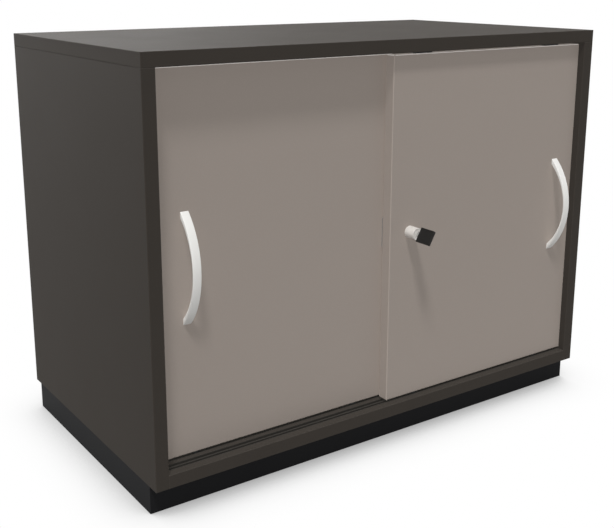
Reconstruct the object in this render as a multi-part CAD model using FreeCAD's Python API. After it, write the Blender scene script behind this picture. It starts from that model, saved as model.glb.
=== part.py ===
import FreeCAD, Part
import dataclasses
import enum
import math
import os

# A low office cabinet: a board carcass on a plinth, closed by two doors that slide past each other.
#
# Units are millimetres. As the front is seen, +X is to the right, +Y to the back and +Z up.
# The origin is on the floor, in the middle of the carcass's footprint.
#
# The right-hand door runs in the front tracks and the left-hand door in the rear tracks.
# A door is carried by two grooved rollers, which ride on the rib of its lower track.

Vector = FreeCAD.Vector
os.makedirs("parts", exist_ok=True)

# ---------------------------------------------------------------- driving dimensions

# Carcass
cabinet_width = 800.0
cabinet_depth = 440.0
cabinet_height = 605.0
board_thickness = 19.0
edging_thickness = 2.0
carcass_edging_radius = 0.8
back_thickness = 8.0
back_setback = 12.0  # the carcass's rear edge to the back panel's rear face
back_groove_depth = 8.0
groove_clearance = 0.2  # on each side of the back panel in its grooves

# Plinth
plinth_height = 40.0
plinth_thickness = 19.0
plinth_front_setback = 20.0
plinth_back_setback = 20.0
bracket_leg = 25.0
bracket_width = 20.0
bracket_sheet = 2.0
bracket_offset = 200.0  # from the middle of the cabinet

# Shelf and the rows of holes that carry it
shelf_thickness = 19.0
shelf_side_gap = 1.0
shelf_front_setback = 60.0
shelf_back_gap = 1.0
pin_hole_radius = 2.5
pin_hole_depth = 10.0
pin_hole_pitch = 32.0
pin_holes_in_a_row = 9
pin_row_front = 96.0  # from the carcass's front plane
pin_row_back = 60.0  # from the carcass's rear plane
pin_shank_length = 9.0
pin_collar_radius = 4.5
pin_collar_thickness = 1.0
pin_ledge_length = 8.0
pin_ledge_width = 7.0

# Doors
door_thickness = 18.0
door_edging_radius = 1.5
front_door_setback = 10.5  # the carcass's front plane to the front door's face
door_plane_gap = 3.5  # between the front door's back and the rear door's face
door_bottom_gap = 4.0
door_top_gap = 3.0
door_side_gap = 0.5
door_overlap = 16.0
door_stop_clearance = 2.0  # left between a door and the other's handle at full travel

# Tracks, let into the bottom and top boards
track_width = 14.4
lower_track_height = 8.0
lower_track_wall = 1.2
track_rib_width = 3.0
track_rib_drop = 0.5  # the rib's top below the board's face
upper_track_height = 10.0
upper_track_wall = 3.0
upper_track_floor = 1.2
track_stop_length = 12.0
track_end_clearance = 0.5

# Rollers and their housings, in the doors' lower edges
roller_radius = 9.0
roller_groove_radius = 7.3
roller_width = 8.0
roller_groove_width = 3.6
roller_inset = 60.0  # a door's side edge to a roller's axle
roller_side_play = 0.25
roller_pocket_play = 1.5
axle_radius = 1.5
housing_length = 46.0
housing_width = 13.0
housing_height = 24.0

# Guides in the doors' upper edges
guide_inset = 60.0
guide_base_length = 36.0
guide_base_width = 12.0
guide_base_height = 12.0
guide_tongue_length = 30.0
guide_tongue_reach = 6.0  # into the upper track's channel
guide_play = 0.2

# Bow handles
handle_length = 152.0
handle_width = 12.0
handle_projection = 31.0
handle_bar_thickness = 2.2  # in the middle; the bar grows thicker towards its feet
handle_foot_length = 9.0
handle_edge_radius = 0.7
left_handle_inset = 49.0  # the rear door's left edge to the handle's middle
right_handle_inset = 42.5  # the front door's right edge to the handle's middle
handle_raise = 0.5  # the handles' middles above the doors' middles
handle_screw_inset = 6.0  # a handle's end to its screw
handle_screw_bite = 3.0
handle_screw_radius = 1.5
handle_screw_head_radius = 3.0
handle_screw_head_height = 2.0

# Push lock in the front door
lock_inset = 37.0  # the front door's left edge to the lock's axis
lock_barrel_radius = 9.0
lock_barrel_projection = 18.5
lock_barrel_chamfer = 0.7
lock_barrel_front_wall = 1.5
lock_collar_width = 1.2  # beyond the barrel, behind the door's front lip
lock_collar_thickness = 2.0
lock_travel = 8.0
lock_bolt_radius = 4.0
lock_bolt_reach = 3.0  # behind the door when the barrel is pushed in
lock_bolt_head_length = 2.0
lock_core_radius = 5.5
lock_core_nose_radius = 4.7
lock_housing_wall = 2.0
lock_front_lip = 3.0  # door left in front of the housing
lock_rear_wall = 2.0
lock_flange_length = 44.0
lock_flange_width = 30.0
lock_spring_radius = 6.5
lock_spring_wire = 0.7
lock_spring_turns = 4
lock_spring_wire_sides = 12
keyway_width = 8.6
keyway_thickness = 2.2
key_lean = 29.0  # degrees from upright, the top towards +X
key_blade_length = 19.0
key_blade_width = 8.2
key_blade_thickness = 1.8
key_cut_depths = (1.4, 2.2, 1.0, 1.8)
key_cut_pitch = 3.4
key_cut_slope = 45.0  # degrees
key_tip_chamfer = 2.4
key_neck_length = 3.0
key_tang_length = 8.0
key_bow_length = 28.0
key_bow_width = 22.4
key_bow_thickness = 3.6
key_bow_radius = 0.8
striker_height = 44.0
striker_thickness = 2.6
striker_hold = 14.0  # the width that lies on the rear door
striker_bolt_gap = 1.5

# Carcass fittings
cam_radius = 7.5
cam_depth = 12.5
cam_reach = 24.0  # a joint's plane to the cam's middle, in the board whose end is in the joint
cam_front_inset = 80.0
cam_back_inset = 70.0
cam_bolt_radius = 2.8
cam_bolt_head_radius = 3.5
cam_bolt_head_length = 2.5
cam_bolt_bite = 11.0
cam_bore_radius = 4.0
cam_cap_radius = 8.5
cam_cap_thickness = 1.2
dowel_radius = 4.0
dowel_length = 30.0
dowel_face_bite = 11.5  # of a dowel's length, in the board whose face is in the joint
dowel_front_inset = 58.0
dowel_back_inset = 40.0
plinth_dowel_length = 24.0
screw_radius = 1.75
screw_length = 13.0
screw_head_radius = 3.4
screw_head_height = 1.8
screw_slot_width = 0.8
screw_slot_depth = 0.8

# Clearances
running_clearance = 0.1  # a wheel on its rib, a barrel in its bore
shaft_clearance = 0.05  # on the radius of a pin or axle in its hole
fitting_clearance = 0.1  # a housing in its pocket
hole_end_clearance = 0.5  # behind the tip of a screw or dowel

# ---------------------------------------------------------------- planes that follow from them

half_width = cabinet_width / 2
front = -cabinet_depth / 2
back = cabinet_depth / 2
inner_side = half_width - board_thickness
bottom_face = plinth_height + board_thickness  # the bottom board's upper face
top_face = cabinet_height - board_thickness  # the top board's lower face

door_low = bottom_face + door_bottom_gap
door_high = top_face - door_top_gap
door_middle = (door_low + door_high) / 2
front_door_face = front + front_door_setback
rear_door_face = front_door_face + door_thickness + door_plane_gap
front_door_left = -door_overlap / 2
front_door_right = inner_side - door_side_gap
rear_door_left = -front_door_right
rear_door_right = -front_door_left

left_handle_x = rear_door_left + left_handle_inset
right_handle_x = front_door_right - right_handle_inset
handle_middle_z = door_middle + handle_raise
door_travel = front_door_left - (left_handle_x + handle_width / 2) - door_stop_clearance

rib_top = bottom_face - track_rib_drop
roller_axis_z = rib_top + running_clearance + roller_groove_radius

lock_x = front_door_left + lock_inset
lock_z = door_middle

back_rear_face = back - back_setback
back_front_face = back_rear_face - back_thickness

hole_row_middle = (bottom_face + top_face) / 2 - shelf_thickness / 2 - pin_hole_radius
shelf_low = hole_row_middle + pin_hole_radius

# ---------------------------------------------------------------- shapes used again and again

X_AXIS = Vector(1, 0, 0)
Y_AXIS = Vector(0, 1, 0)
Z_AXIS = Vector(0, 0, 1)


class Along(enum.IntEnum):
    """The number of a coordinate in a point."""

    X = 0
    Y = 1
    Z = 2


class End(enum.Enum):
    """One end of a box along a coordinate."""

    LOW = "low"
    HIGH = "high"


def box(low, high):
    """A box between its lowest and its highest corner."""
    size = [high[i] - low[i] for i in range(3)]
    return Part.makeBox(size[0], size[1], size[2], Vector(*low))


def box_across(corner, opposite):
    """A box between any two opposite corners."""
    low, high = zip(*[sorted(pair) for pair in zip(corner, opposite)])
    return box(low, high)


def rod(radius, start, end):
    """A round bar from one point to another."""
    run = Vector(*end) - Vector(*start)
    return Part.makeCylinder(radius, run.Length, Vector(*start), run)


def fused(shapes):
    """Several shapes made one solid, without the seams between them."""
    whole = shapes[0]
    for shape in shapes[1:]:
        whole = whole.fuse(shape)
    return whole.removeSplitter()


def prism_along_x(low_x, high_x, outline):
    """A prism between two planes of X, with its outline given as (y, z) points."""
    points = [Vector(low_x, y, z) for y, z in outline]
    return Part.Face(Part.makePolygon(points + points[:1])).extrude(Vector(high_x - low_x, 0, 0))


def cut_by(shape, tools):
    """A shape less every tool that is given."""
    return shape.cut(Part.makeCompound(tools)) if tools else shape


def group(shapes):
    """Separate solids kept together in one node."""
    return Part.makeCompound([solid for shape in shapes for solid in shape.Solids])


def mirrored_x(shape):
    """A shape's mirror image across the plane between left and right."""
    return shape.mirror(Vector(0, 0, 0), X_AXIS)


def lies_on(edge, axis, value):
    """Whether an edge lies in the plane where the coordinate has this value."""
    return all(abs(vertex.Point[axis] - value) < 1e-6 for vertex in edge.Vertexes)


def outer_edges(strip, axis, value):
    """The edges of a strip around its outer face, which is the plane axis = value."""
    return [edge for edge in strip.Edges if lies_on(edge, axis, value)]


def banded_board(low, high, thickness_axis, radius, banded_sides):
    """A board with an edging strip on each listed side, given as (axis, end): its core and its strips.

    The strips' outer edges are rounded by the radius. The strips listed first run the full length, and
    the later ones fit between them.
    """
    core_low, core_high = list(low), list(high)
    strips = []
    for axis, end in banded_sides:
        strip_low, strip_high = list(core_low), list(core_high)
        if end is End.LOW:
            strip_high[axis] = strip_low[axis] + edging_thickness
            core_low[axis] = strip_high[axis]
            outer_plane = strip_low[axis]
        else:
            strip_low[axis] = strip_high[axis] - edging_thickness
            core_high[axis] = strip_low[axis]
            outer_plane = strip_high[axis]
        strip = box(strip_low, strip_high)
        (run,) = set(Along) - {thickness_axis, axis}
        rounded = [
            edge
            for edge in outer_edges(strip, axis, outer_plane)
            if not (lies_on(edge, run, strip_low[run]) or lies_on(edge, run, strip_high[run]))
            or lies_on(edge, run, low[run])
            or lies_on(edge, run, high[run])
        ]
        strips.append(strip.makeFillet(radius, rounded))
    return box(core_low, core_high), strips


def slotted_screw(seat, direction, length, radius, head_radius, head_height):
    """A screw whose head rests on the seat and whose shank runs from there in the given direction."""
    seat, direction = Vector(*seat), Vector(*direction)
    top = seat - direction * head_height
    shank = Part.makeCylinder(radius, length, seat, direction)
    head = Part.makeCylinder(head_radius, head_height, top, direction)
    across = Z_AXIS if abs(direction.z) < 0.5 else X_AXIS
    side = direction.cross(across)
    slot = Part.makeBox(screw_slot_width, 2 * head_radius, 2 * screw_slot_depth)
    slot.translate(Vector(-screw_slot_width / 2, -head_radius, -screw_slot_depth))
    turn = FreeCAD.Rotation(across, side, direction, "ZXY")
    slot.Placement = FreeCAD.Placement(top, turn).multiply(slot.Placement)
    return fused([head, shank]).cut(slot)


def screw_hole(seat, direction, radius, length):
    """The hole for a screw's shank, a little longer and wider than the shank."""
    depth = length + hole_end_clearance
    return Part.makeCylinder(radius + shaft_clearance, depth, Vector(*seat), Vector(*direction))


def save(node, shape):
    """Writes one node's STEP file."""
    shape.exportStep("parts/" + node + ".step")


# ---------------------------------------------------------------- tracks

track_middles = {
    "front": front_door_face + door_thickness / 2,
    "rear": rear_door_face + door_thickness / 2,
}
track_half_length = inner_side - track_end_clearance


def track_groove(middle, low_z, high_z):
    """The groove in a board that a track lies in, or the track's own outer shape."""
    half = track_width / 2
    return box((-inner_side, middle - half, low_z), (inner_side, middle + half, high_z))


def lower_track(middle):
    """A channel let in flush with the bottom board, with a running rib along its middle."""
    low_z = bottom_face - lower_track_height
    half = track_width / 2 - fitting_clearance
    bar = box((-track_half_length, middle - half, low_z), (track_half_length, middle + half, bottom_face))
    gaps = []
    for side in (-1, 1):
        edge_a = middle + side * track_rib_width / 2
        edge_b = middle + side * (half - lower_track_wall)
        near, far = min(edge_a, edge_b), max(edge_a, edge_b)
        gaps.append(
            box(
                (-track_half_length, near, low_z + lower_track_wall),
                (track_half_length, far, bottom_face),
            )
        )
    rib_relief = box(
        (-track_half_length, middle - track_rib_width / 2, rib_top),
        (track_half_length, middle + track_rib_width / 2, bottom_face),
    )
    return cut_by(bar, gaps + [rib_relief])


upper_channel_half = track_width / 2 - fitting_clearance - upper_track_wall
upper_channel_top = top_face + upper_track_height - upper_track_floor


def upper_track(middle):
    """A channel let in flush with the top board's lower face, open downwards, for the doors' guides."""
    half = track_width / 2 - fitting_clearance
    bar = box(
        (-track_half_length, middle - half, top_face),
        (track_half_length, middle + half, top_face + upper_track_height),
    )
    channel = box(
        (-track_half_length, middle - upper_channel_half, top_face),
        (track_half_length, middle + upper_channel_half, upper_channel_top),
    )
    return bar.cut(channel)


def track_stop(middle, contact_x, direction):
    """A block clipped in an upper channel, where a door's leading guide ends its travel."""
    near = contact_x + direction * fitting_clearance
    far = near + direction * track_stop_length
    return box(
        (min(near, far), middle - upper_channel_half, top_face),
        (max(near, far), middle + upper_channel_half, upper_channel_top),
    )


# ---------------------------------------------------------------- carcass fittings

cam_places_y = (front + cam_front_inset, back - cam_back_inset)
dowel_places_y = (front + dowel_front_inset, back - dowel_back_inset)
side_middle = half_width - board_thickness / 2
bottom_middle = plinth_height + board_thickness / 2


@dataclasses.dataclass(frozen=True)
class BoardJoint:
    """A joint on the right-hand side, where the end of one board meets the face of another."""

    x: float  # of the joint, at the middle of the end's thickness
    z: float
    along: tuple  # the way from the joint into the board whose end it is
    cam_side: tuple  # the way from that board's middle to the face with the cams

    def point(self, y, run, rise=0.0):
        """The point this far along the board and this far from its middle towards the cams' face."""
        place = Vector(self.x, y, self.z)
        return place + Vector(*self.along) * run + Vector(*self.cam_side) * rise


# The side panel's end meets the top board's face. The bottom board's end meets the side panel's face.
top_joint = BoardJoint(side_middle, top_face, (0, 0, -1), (-1, 0, 0))
bottom_joint = BoardJoint(inner_side, bottom_middle, (-1, 0, 0), (0, 0, -1))


def cam_housing(joint, y):
    """A round cam let in a board's face, bored for its bolt and slotted for a screwdriver."""
    face = board_thickness / 2
    body = rod(cam_radius, joint.point(y, cam_reach, face), joint.point(y, cam_reach, face - cam_depth))
    bore = rod(cam_bore_radius, joint.point(y, cam_reach), joint.point(y, cam_reach - 2 * cam_radius))
    slot = box_across(
        joint.point(y - cam_radius / 2, cam_reach - screw_slot_width / 2, face),
        joint.point(y + cam_radius / 2, cam_reach + screw_slot_width / 2, face - 2 * screw_slot_depth),
    )
    return cut_by(body, [bore, slot])


def cam_bolt(joint, y):
    """A bolt that is screwed into the board behind the joint and ends in a head inside the cam."""
    head_start = cam_reach - cam_bolt_head_length / 2
    head_end = head_start - cam_bolt_head_length
    shank = rod(cam_bolt_radius, joint.point(y, head_start), joint.point(y, -cam_bolt_bite))
    head = rod(cam_bolt_head_radius, joint.point(y, head_start), joint.point(y, head_end))
    return fused([shank, head])


def cam_cap(joint, y):
    """A thin cap that covers a cam."""
    face = board_thickness / 2
    outer = joint.point(y, cam_reach, face + cam_cap_thickness)
    return rod(cam_cap_radius, outer, joint.point(y, cam_reach, face))


def dowel(joint, y):
    """A dowel across a joint."""
    in_face = joint.point(y, -dowel_face_bite)
    return rod(dowel_radius, in_face, joint.point(y, dowel_length - dowel_face_bite))


def holes_in_face(joint):
    """The holes for a joint's dowels and cam bolts in the board whose face it is."""
    start, holes = 0.0, []
    for y in dowel_places_y:
        end = joint.point(y, -dowel_face_bite - hole_end_clearance)
        holes.append(rod(dowel_radius + shaft_clearance, joint.point(y, start), end))
    for y in cam_places_y:
        end = joint.point(y, -cam_bolt_bite - hole_end_clearance)
        holes.append(rod(cam_bolt_radius + shaft_clearance, joint.point(y, start), end))
    return holes


def holes_in_end(joint):
    """The holes for a joint's dowels, cam bolts and cams in the board whose end it is."""
    start, face, holes = 0.0, board_thickness / 2, []
    for y in dowel_places_y:
        end = joint.point(y, dowel_length - dowel_face_bite + hole_end_clearance)
        holes.append(rod(dowel_radius + shaft_clearance, joint.point(y, start), end))
    for y in cam_places_y:
        pocket_floor = joint.point(y, cam_reach, face - cam_depth - fitting_clearance)
        holes.append(rod(cam_bore_radius, joint.point(y, start), joint.point(y, cam_reach)))
        holes.append(rod(cam_radius + shaft_clearance, joint.point(y, cam_reach, face), pocket_floor))
    return holes


def on_both_sides(shapes):
    """The shapes of the right-hand side with their mirror images on the left."""
    return shapes + [mirrored_x(shape) for shape in shapes]


pin_rows_y = (front + pin_row_front, back - pin_row_back)
first_pin_hole_z = hole_row_middle - pin_hole_pitch * (pin_holes_in_a_row // 2)


def pin_holes_in_right_side():
    """Two rows of holes, in any of which a shelf pin can stand."""
    holes = []
    for y in pin_rows_y:
        for number in range(pin_holes_in_a_row):
            z = first_pin_hole_z + number * pin_hole_pitch
            holes.append(rod(pin_hole_radius, (inner_side, y, z), (inner_side + pin_hole_depth, y, z)))
    return holes


def shelf_pin(y):
    """A pin in the right side panel, with a collar against the panel and a ledge under the shelf."""
    z = hole_row_middle
    collar_x = inner_side - pin_collar_thickness
    shank_end = (inner_side + pin_shank_length, y, z)
    shank = rod(pin_hole_radius - shaft_clearance, (inner_side, y, z), shank_end)
    collar = rod(pin_collar_radius, (collar_x, y, z), (inner_side, y, z))
    ledge = box(
        (collar_x - pin_ledge_length, y - pin_ledge_width / 2, z - pin_hole_radius),
        (collar_x, y + pin_ledge_width / 2, shelf_low),
    )
    over_ledge = box(
        (collar_x, y - pin_collar_radius, shelf_low),
        (inner_side, y + pin_collar_radius, z + pin_collar_radius),
    )
    return fused([shank, collar.cut(over_ledge), ledge])


# ---------------------------------------------------------------- carcass


def back_panel_groove():
    """The space that the back panel's grooves take out of the four boards around it."""
    reach = inner_side + back_groove_depth
    return box(
        (-reach, back_front_face - groove_clearance, bottom_face - back_groove_depth),
        (reach, back_rear_face + groove_clearance, top_face + back_groove_depth),
    )


plinth_front_face = front + plinth_front_setback
plinth_back_face = back - plinth_back_setback
plinth_inner_front = plinth_front_face + plinth_thickness
plinth_inner_back = plinth_back_face - plinth_thickness
plinth_side_middle = half_width - plinth_thickness / 2
plinth_dowel_places = (-plinth_side_middle, 0.0, plinth_side_middle)
bracket_corners = [
    (x, inner_face, inward)
    for inner_face, inward in ((plinth_inner_front, 1), (plinth_inner_back, -1))
    for x in (-bracket_offset, bracket_offset)
]


def bracket_screw_seats(x, inner_face, inward):
    """Where a bracket's two screws bear and which way they go, into the bottom board and the plinth."""
    middle = (bracket_leg + bracket_sheet) / 2
    upward = ((x, inner_face + inward * middle, plinth_height - bracket_sheet), (0, 0, 1))
    outward = ((x, inner_face + inward * bracket_sheet, plinth_height - middle), (0, -inward, 0))
    return [upward, outward]


def bracket_screw_tools():
    """The holes for all the bracket screws, cut from the brackets and the boards alike."""
    return [
        screw_hole(seat, direction, screw_radius, screw_length)
        for corner in bracket_corners
        for seat, direction in bracket_screw_seats(*corner)
    ]


def bracket(x, inner_face, inward):
    """An angle bracket between a plinth board and the bottom board."""
    wide = bracket_width / 2
    leg_end = inner_face + inward * bracket_leg
    sheet_end = inner_face + inward * bracket_sheet
    level = box(
        (x - wide, min(inner_face, leg_end), plinth_height - bracket_sheet),
        (x + wide, max(inner_face, leg_end), plinth_height),
    )
    upright = box(
        (x - wide, min(inner_face, sheet_end), plinth_height - bracket_leg),
        (x + wide, max(inner_face, sheet_end), plinth_height),
    )
    return fused([level, upright])


def plinth_dowel(x, inner_face, inward, end_gap):
    """A dowel between a long plinth board and a cross board, or its hole when an end gap is given."""
    reach = plinth_dowel_length / 2 + end_gap
    radius = dowel_radius + (shaft_clearance if end_gap else 0)
    z = plinth_height / 2
    return rod(radius, (x, inner_face - reach, z), (x, inner_face + reach, z))


def plinth_dowel_tools():
    """The holes of every plinth dowel."""
    return [
        plinth_dowel(x, face, inward, hole_end_clearance)
        for x in plinth_dowel_places
        for face, inward in ((plinth_inner_front, 1), (plinth_inner_back, -1))
    ]


def make_carcass():
    """The boards, their edging, the back and the fittings that hold them together."""
    groove = back_panel_groove()
    front_and_rear = [(Along.Y, End.LOW), (Along.Y, End.HIGH)]

    top, top_strips = banded_board(
        (-half_width, front, top_face),
        (half_width, back, cabinet_height),
        Along.Z,
        carcass_edging_radius,
        front_and_rear + [(Along.X, End.LOW), (Along.X, End.HIGH)],
    )
    upper_grooves = [
        track_groove(middle, top_face, top_face + upper_track_height) for middle in track_middles.values()
    ]
    save("top_board", cut_by(top, [groove] + upper_grooves + on_both_sides(holes_in_face(top_joint))))
    save("top_board_edging", group(top_strips))

    bottom, bottom_strips = banded_board(
        (-inner_side, front, plinth_height),
        (inner_side, back, bottom_face),
        Along.Z,
        carcass_edging_radius,
        front_and_rear,
    )
    groove_low = bottom_face - lower_track_height
    lower_grooves = [track_groove(middle, groove_low, bottom_face) for middle in track_middles.values()]
    bottom_tools = [groove] + lower_grooves + on_both_sides(holes_in_end(bottom_joint))
    save("bottom_board", cut_by(bottom, bottom_tools + bracket_screw_tools()))
    save("bottom_board_edging", group(bottom_strips))

    side, side_strips = banded_board(
        (inner_side, front, plinth_height),
        (half_width, back, top_face),
        Along.X,
        carcass_edging_radius,
        front_and_rear,
    )
    side_tools = [groove] + holes_in_end(top_joint) + holes_in_face(bottom_joint)
    side = cut_by(side, side_tools + pin_holes_in_right_side())
    save("right_side_panel", side)
    save("right_side_edging", group(side_strips))
    save("left_side_panel", mirrored_x(side))
    save("left_side_edging", group([mirrored_x(strip) for strip in side_strips]))

    panel_reach = back_groove_depth - hole_end_clearance
    save(
        "back_panel",
        box(
            (-inner_side - panel_reach, back_front_face, bottom_face - back_groove_depth),
            (inner_side + panel_reach, back_rear_face, top_face + panel_reach),
        ),
    )

    joints = (top_joint, bottom_joint)
    # The cams of the bottom joints are under the board, inside the plinth, and have no caps.
    for node, right_hand in (
        ("cam_housings", [cam_housing(joint, y) for joint in joints for y in cam_places_y]),
        ("cam_bolts", [cam_bolt(joint, y) for joint in joints for y in cam_places_y]),
        ("cam_cover_caps", [cam_cap(top_joint, y) for y in cam_places_y]),
        ("carcass_dowels", [dowel(joint, y) for joint in joints for y in dowel_places_y]),
    ):
        save(node, group(on_both_sides(right_hand)))


def make_shelf():
    """The shelf, its front edging and the four pins that it lies on."""
    reach = inner_side - shelf_side_gap
    board, strips = banded_board(
        (-reach, front + shelf_front_setback, shelf_low),
        (reach, back_front_face - shelf_back_gap, shelf_low + shelf_thickness),
        Along.Z,
        carcass_edging_radius,
        [(Along.Y, End.LOW)],
    )
    save("shelf", board)
    save("shelf_edging", group(strips))
    pins = [shelf_pin(y) for y in pin_rows_y]
    save("shelf_pins", group(pins + [mirrored_x(pin) for pin in pins]))


def make_plinth():
    """The plinth frame under the bottom board, with its dowels, brackets and screws."""
    tools = plinth_dowel_tools() + bracket_screw_tools()
    long_boards = {
        "plinth_front": (plinth_front_face, plinth_inner_front),
        "plinth_back": (plinth_inner_back, plinth_back_face),
    }
    for node, (near, far) in long_boards.items():
        save(node, cut_by(box((-half_width, near, 0), (half_width, far, plinth_height)), tools))
    cross_boards = {
        "plinth_left": -plinth_side_middle,
        "plinth_right": plinth_side_middle,
        "plinth_middle_rail": 0.0,
    }
    half = plinth_thickness / 2
    for node, x in cross_boards.items():
        board = box((x - half, plinth_inner_front, 0), (x + half, plinth_inner_back, plinth_height))
        save(node, cut_by(board, plinth_dowel_tools()))
    dowels = [
        plinth_dowel(x, face, inward, 0)
        for x in plinth_dowel_places
        for face, inward in ((plinth_inner_front, 1), (plinth_inner_back, -1))
    ]
    save("plinth_dowels", group(dowels))
    brackets = [cut_by(bracket(*corner), bracket_screw_tools()) for corner in bracket_corners]
    save("plinth_brackets", group(brackets))
    screws = [
        slotted_screw(seat, direction, screw_length, screw_radius, screw_head_radius, screw_head_height)
        for corner in bracket_corners
        for seat, direction in bracket_screw_seats(*corner)
    ]
    save("plinth_screws", group(screws))


def make_tracks():
    """The two lower and two upper tracks, and the stops at the ends of the doors' travel."""
    for place, middle in track_middles.items():
        save("lower_" + place + "_track", lower_track(middle))
        save("upper_" + place + "_track", upper_track(middle))
    half = guide_tongue_length / 2
    front_contact = front_door_left + guide_inset - half - door_travel
    rear_contact = rear_door_right - guide_inset + half + door_travel
    stops = [
        track_stop(track_middles["front"], front_contact, -1),
        track_stop(track_middles["rear"], rear_contact, 1),
    ]
    save("upper_track_stops", group(stops))


# ---------------------------------------------------------------- doors


def roller(x, middle):
    """A grooved roller that straddles a track's rib, with a hole for its axle."""
    half, groove_half = roller_width / 2, roller_groove_width / 2
    hub = rod(roller_groove_radius, (x, middle - half, roller_axis_z), (x, middle + half, roller_axis_z))
    flanges = [
        rod(roller_radius, (x, middle + near, roller_axis_z), (x, middle + far, roller_axis_z))
        for near, far in ((-half, -groove_half), (groove_half, half))
    ]
    ends = (x, middle - half, roller_axis_z), (x, middle + half, roller_axis_z)
    return fused([hub] + flanges).cut(rod(axle_radius + shaft_clearance, *ends))


def roller_axle(x, middle):
    """The axle of a roller, held in both cheeks of its housing."""
    half = housing_width / 2
    return rod(axle_radius, (x, middle - half, roller_axis_z), (x, middle + half, roller_axis_z))


def housing_block(x, middle, clearance):
    """A roller housing's outer shape, or the pocket for it when a clearance is given."""
    length, width = housing_length / 2 + clearance, housing_width / 2 + clearance
    high_z = door_low + housing_height + clearance
    return box((x - length, middle - width, door_low), (x + length, middle + width, high_z))


def roller_housing(x, middle):
    """A block in the door's lower edge, open below around its roller."""
    length = roller_radius + roller_pocket_play
    width = roller_width / 2 + roller_side_play
    pocket_top = roller_axis_z + length
    pocket = box((x - length, middle - width, door_low), (x + length, middle + width, pocket_top))
    axle_hole = rod(
        axle_radius + shaft_clearance,
        (x, middle - housing_width, roller_axis_z),
        (x, middle + housing_width, roller_axis_z),
    )
    return cut_by(housing_block(x, middle, 0), [pocket, axle_hole])


def guide_base(x, middle, clearance):
    """A top guide's base, or the pocket for it when a clearance is given."""
    length, width = guide_base_length / 2 + clearance, guide_base_width / 2 + clearance
    low_z = door_high - guide_base_height - clearance
    return box((x - length, middle - width, low_z), (x + length, middle + width, door_high))


def top_guide(x, middle):
    """A guide in the door's upper edge, whose tongue slides in the upper track."""
    half = guide_tongue_length / 2
    width = upper_channel_half - guide_play
    tip_z = top_face + guide_tongue_reach
    tongue = box((x - half, middle - width, door_high), (x + half, middle + width, tip_z))
    return fused([guide_base(x, middle, 0), tongue])


def handle_screw_places(handle_x):
    """The middles of a handle's two screws, as (x, z)."""
    reach = handle_length / 2 - handle_screw_inset
    return [(handle_x, handle_middle_z - reach), (handle_x, handle_middle_z + reach)]


def bow_handle(handle_x, face):
    """A flat bar bent to an arc, with thicker feet that stand on the door's face."""
    end, inner_end = handle_length / 2, handle_length / 2 - handle_foot_length
    peak, inner_peak = face - handle_projection, face - handle_projection + handle_bar_thickness
    x = handle_x - handle_width / 2

    def point(y, z):
        return Vector(x, y, handle_middle_z + z)

    outer = Part.Arc(point(face, -end), point(peak, 0), point(face, end)).toShape()
    upper_foot = Part.makeLine(point(face, end), point(face, inner_end))
    inner = Part.Arc(point(face, inner_end), point(inner_peak, 0), point(face, -inner_end)).toShape()
    lower_foot = Part.makeLine(point(face, -inner_end), point(face, -end))
    bar = Part.Face(Part.Wire([outer, upper_foot, inner, lower_foot])).extrude(Vector(handle_width, 0, 0))
    arcs = [edge for edge in bar.Edges if isinstance(edge.Curve, Part.Circle)]
    bar = bar.makeFillet(handle_edge_radius, arcs)
    holes = [
        screw_hole((hole_x, face, hole_z), (0, -1, 0), handle_screw_radius, handle_screw_bite)
        for hole_x, hole_z in handle_screw_places(handle_x)
    ]
    return cut_by(bar, holes)


def handle_screws(handle_x, face):
    """The two screws that hold a handle, put in from the door's back, with their heads sunk in it."""
    seat_y = face + door_thickness - handle_screw_head_height
    length = door_thickness - handle_screw_head_height + handle_screw_bite
    sizes = (handle_screw_radius, handle_screw_head_radius, handle_screw_head_height)
    seats = [(x, seat_y, z) for x, z in handle_screw_places(handle_x)]
    return [slotted_screw(seat, (0, -1, 0), length, *sizes) for seat in seats]


def handle_screw_tools(handle_x, face):
    """The stepped holes for a handle's screws through the door."""
    back_face = face + door_thickness
    tools = []
    for x, z in handle_screw_places(handle_x):
        tools.append(rod(handle_screw_radius + fitting_clearance, (x, face, z), (x, back_face, z)))
        tools.append(
            rod(
                handle_screw_head_radius + fitting_clearance,
                (x, back_face - handle_screw_head_height, z),
                (x, back_face, z),
            )
        )
    return tools


def make_door(name, left, right, face, handle_x, extra_tools):
    """One sliding door with its edging, handle, guides and rollers; each roller is a node of its own."""
    middle = face + door_thickness / 2
    roller_places = (left + roller_inset, right - roller_inset)
    guide_places = (left + guide_inset, right - guide_inset)
    core, strips = banded_board(
        (left, face, door_low),
        (right, face + door_thickness, door_high),
        Along.Y,
        door_edging_radius,
        [(Along.X, End.LOW), (Along.X, End.HIGH), (Along.Z, End.LOW), (Along.Z, End.HIGH)],
    )
    pockets = [housing_block(x, middle, fitting_clearance) for x in roller_places]
    pockets += [guide_base(x, middle, fitting_clearance) for x in guide_places]
    save(name + "_door_panel", cut_by(core, pockets + handle_screw_tools(handle_x, face) + extra_tools))
    save(name + "_door_edging", group([cut_by(strip, pockets) for strip in strips]))
    save(name + "_handle", bow_handle(handle_x, face))
    save(name + "_handle_screws", group(handle_screws(handle_x, face)))
    save(name + "_door_roller_housings", group([roller_housing(x, middle) for x in roller_places]))
    save(name + "_door_roller_axles", group([roller_axle(x, middle) for x in roller_places]))
    save(name + "_door_top_guides", group([top_guide(x, middle) for x in guide_places]))
    for end, x in zip(("left", "right"), roller_places):
        save(name + "_door_" + end + "_roller", roller(x, middle))


# ---------------------------------------------------------------- lock and key

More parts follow.
